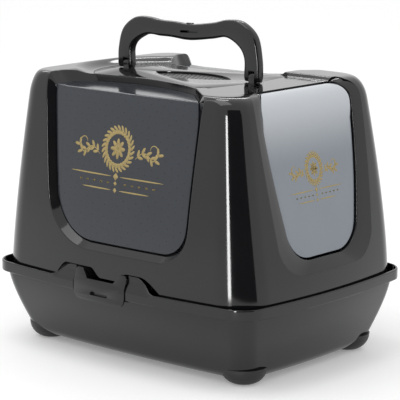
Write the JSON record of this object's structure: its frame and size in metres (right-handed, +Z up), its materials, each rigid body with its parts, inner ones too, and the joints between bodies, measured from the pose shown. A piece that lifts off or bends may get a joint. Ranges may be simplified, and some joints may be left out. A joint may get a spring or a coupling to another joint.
{
  "type": "covered litter box",
  "caption": "Covered litter box with a deep tray, lift-off hood, smoked side windows, swinging entry flap, side latches, filter grille and folding carrying handle.",
  "frame": {"origin": "bottom centre of the box, on the surface it stands on", "axes": "+X towards the entry flap, +Z up, -Y the side whose window is wider at the top"},
  "size_m": [0.5, 0.3932, 0.4719],
  "materials": {
    "shell": "glossy black moulded plastic",
    "foot": "black rubber",
    "pin": "black nylon",
    "window": "smoked translucent plastic with gold print",
    "flap": "light smoked translucent plastic with gold print",
    "pad": "black carbon felt"
  },
  "bodies": {
    "tray": {"tray": "shell", "foot_front_near": "foot", "foot_front_far": "foot", "foot_rear_near": "foot", "foot_rear_far": "foot", "latch_pin_near": "pin", "latch_pin_far": "pin"},
    "latch_near": {"latch_near": "shell"},
    "latch_far": {"latch_far": "shell"},
    "hood": {"hood": "shell", "top_deck": "shell", "window_near": "window", "window_far": "window", "flap_pin_near": "pin", "flap_pin_far": "pin", "filter_cup": "shell", "filter_pad": "pad", "handle_pin_front": "pin", "handle_pin_rear": "pin"},
    "flap": {"entry_flap": "flap"},
    "grille": {"filter_grille": "shell"},
    "handle": {"carry_handle": "shell"}
  },
  "joints": [
    {"name": "hood_lift", "type": "slide", "parent": "tray", "child": "hood", "axis": [0, 0, 1], "range_m": [0, 0.15]},
    {"name": "latch_near_swing", "type": "hinge", "parent": "tray", "child": "latch_near", "pos_m": [-0.011, -0.1903, 0.101], "axis": [1, 0, 0], "range_deg": [0, 50]},
    {"name": "latch_far_swing", "type": "hinge", "parent": "tray", "child": "latch_far", "pos_m": [-0.011, 0.1903, 0.101], "axis": [-1, 0, 0], "range_deg": [0, 50]},
    {"name": "flap_swing", "type": "hinge", "parent": "hood", "child": "flap", "pos_m": [0.1831, 0, 0.3504], "axis": [0, -1, 0], "range_deg": [-60, 75]},
    {"name": "grille_lift", "type": "slide", "parent": "hood", "child": "grille", "axis": [0, 0, 1], "range_m": [0, 0.04]},
    {"name": "handle_fold", "type": "hinge", "parent": "hood", "child": "handle", "pos_m": [-0.0175, 0, 0.3954], "axis": [1, 0, 0], "range_deg": [0, 88]}
  ]
}
